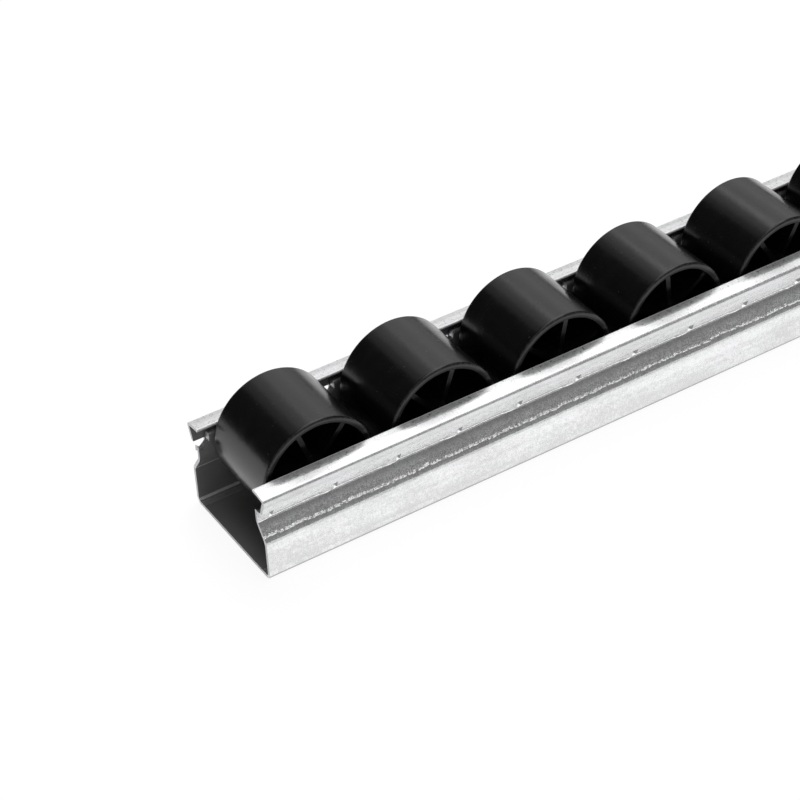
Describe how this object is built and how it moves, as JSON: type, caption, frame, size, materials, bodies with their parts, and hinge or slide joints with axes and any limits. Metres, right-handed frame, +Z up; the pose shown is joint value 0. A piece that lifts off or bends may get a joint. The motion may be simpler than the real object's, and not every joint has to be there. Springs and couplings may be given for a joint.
{
  "type": "flow rack roller track",
  "caption": "Straight flow rack roller track: a folded sheet-steel channel with a row of black ribbed plastic rollers that spin on steel pins laid in punched notches.",
  "frame": {"origin": "middle of the floor's underside, halfway along the track", "axes": "+X along the track, +Y across it, +Z up, out of the rollers' side"},
  "size_m": [0.4, 0.0416, 0.0404],
  "materials": {
    "zinc_steel": "zinc-plated sheet, bright and lightly mottled, with fine marks along the track",
    "pin_steel": "plain drawn wire, satin",
    "black_plastic": "moulded black plastic, satin with fine scuffs round the tread"
  },
  "bodies": {
    "track": {"rail": "zinc_steel", "axle_1": "pin_steel", "axle_2": "pin_steel", "axle_3": "pin_steel", "axle_4": "pin_steel", "axle_5": "pin_steel", "axle_6": "pin_steel", "axle_7": "pin_steel", "axle_8": "pin_steel", "axle_9": "pin_steel", "axle_10": "pin_steel"},
    "roller_1": {"roller_1": "black_plastic"},
    "roller_2": {"roller_2": "black_plastic"},
    "roller_3": {"roller_3": "black_plastic"},
    "roller_4": {"roller_4": "black_plastic"},
    "roller_5": {"roller_5": "black_plastic"},
    "roller_6": {"roller_6": "black_plastic"},
    "roller_7": {"roller_7": "black_plastic"},
    "roller_8": {"roller_8": "black_plastic"},
    "roller_9": {"roller_9": "black_plastic"},
    "roller_10": {"roller_10": "black_plastic"}
  },
  "joints": [
    {"name": "roller_1_spin", "type": "hinge", "parent": "track", "child": "roller_1", "pos_m": [-0.1788, 0, 0.0231], "axis": [0, 1, 0], "continuous": true},
    {"name": "roller_2_spin", "type": "hinge", "parent": "track", "child": "roller_2", "pos_m": [-0.1388, 0, 0.0231], "axis": [0, 1, 0], "continuous": true},
    {"name": "roller_3_spin", "type": "hinge", "parent": "track", "child": "roller_3", "pos_m": [-0.0988, 0, 0.0231], "axis": [0, 1, 0], "continuous": true},
    {"name": "roller_4_spin", "type": "hinge", "parent": "track", "child": "roller_4", "pos_m": [-0.0588, 0, 0.0231], "axis": [0, 1, 0], "continuous": true},
    {"name": "roller_5_spin", "type": "hinge", "parent": "track", "child": "roller_5", "pos_m": [-0.0188, 0, 0.0231], "axis": [0, 1, 0], "continuous": true},
    {"name": "roller_6_spin", "type": "hinge", "parent": "track", "child": "roller_6", "pos_m": [0.0212, 0, 0.0231], "axis": [0, 1, 0], "continuous": true},
    {"name": "roller_7_spin", "type": "hinge", "parent": "track", "child": "roller_7", "pos_m": [0.0612, 0, 0.0231], "axis": [0, 1, 0], "continuous": true},
    {"name": "roller_8_spin", "type": "hinge", "parent": "track", "child": "roller_8", "pos_m": [0.1012, 0, 0.0231], "axis": [0, 1, 0], "continuous": true},
    {"name": "roller_9_spin", "type": "hinge", "parent": "track", "child": "roller_9", "pos_m": [0.1412, 0, 0.0231], "axis": [0, 1, 0], "continuous": true},
    {"name": "roller_10_spin", "type": "hinge", "parent": "track", "child": "roller_10", "pos_m": [0.1812, 0, 0.0231], "axis": [0, 1, 0], "continuous": true}
  ]
}
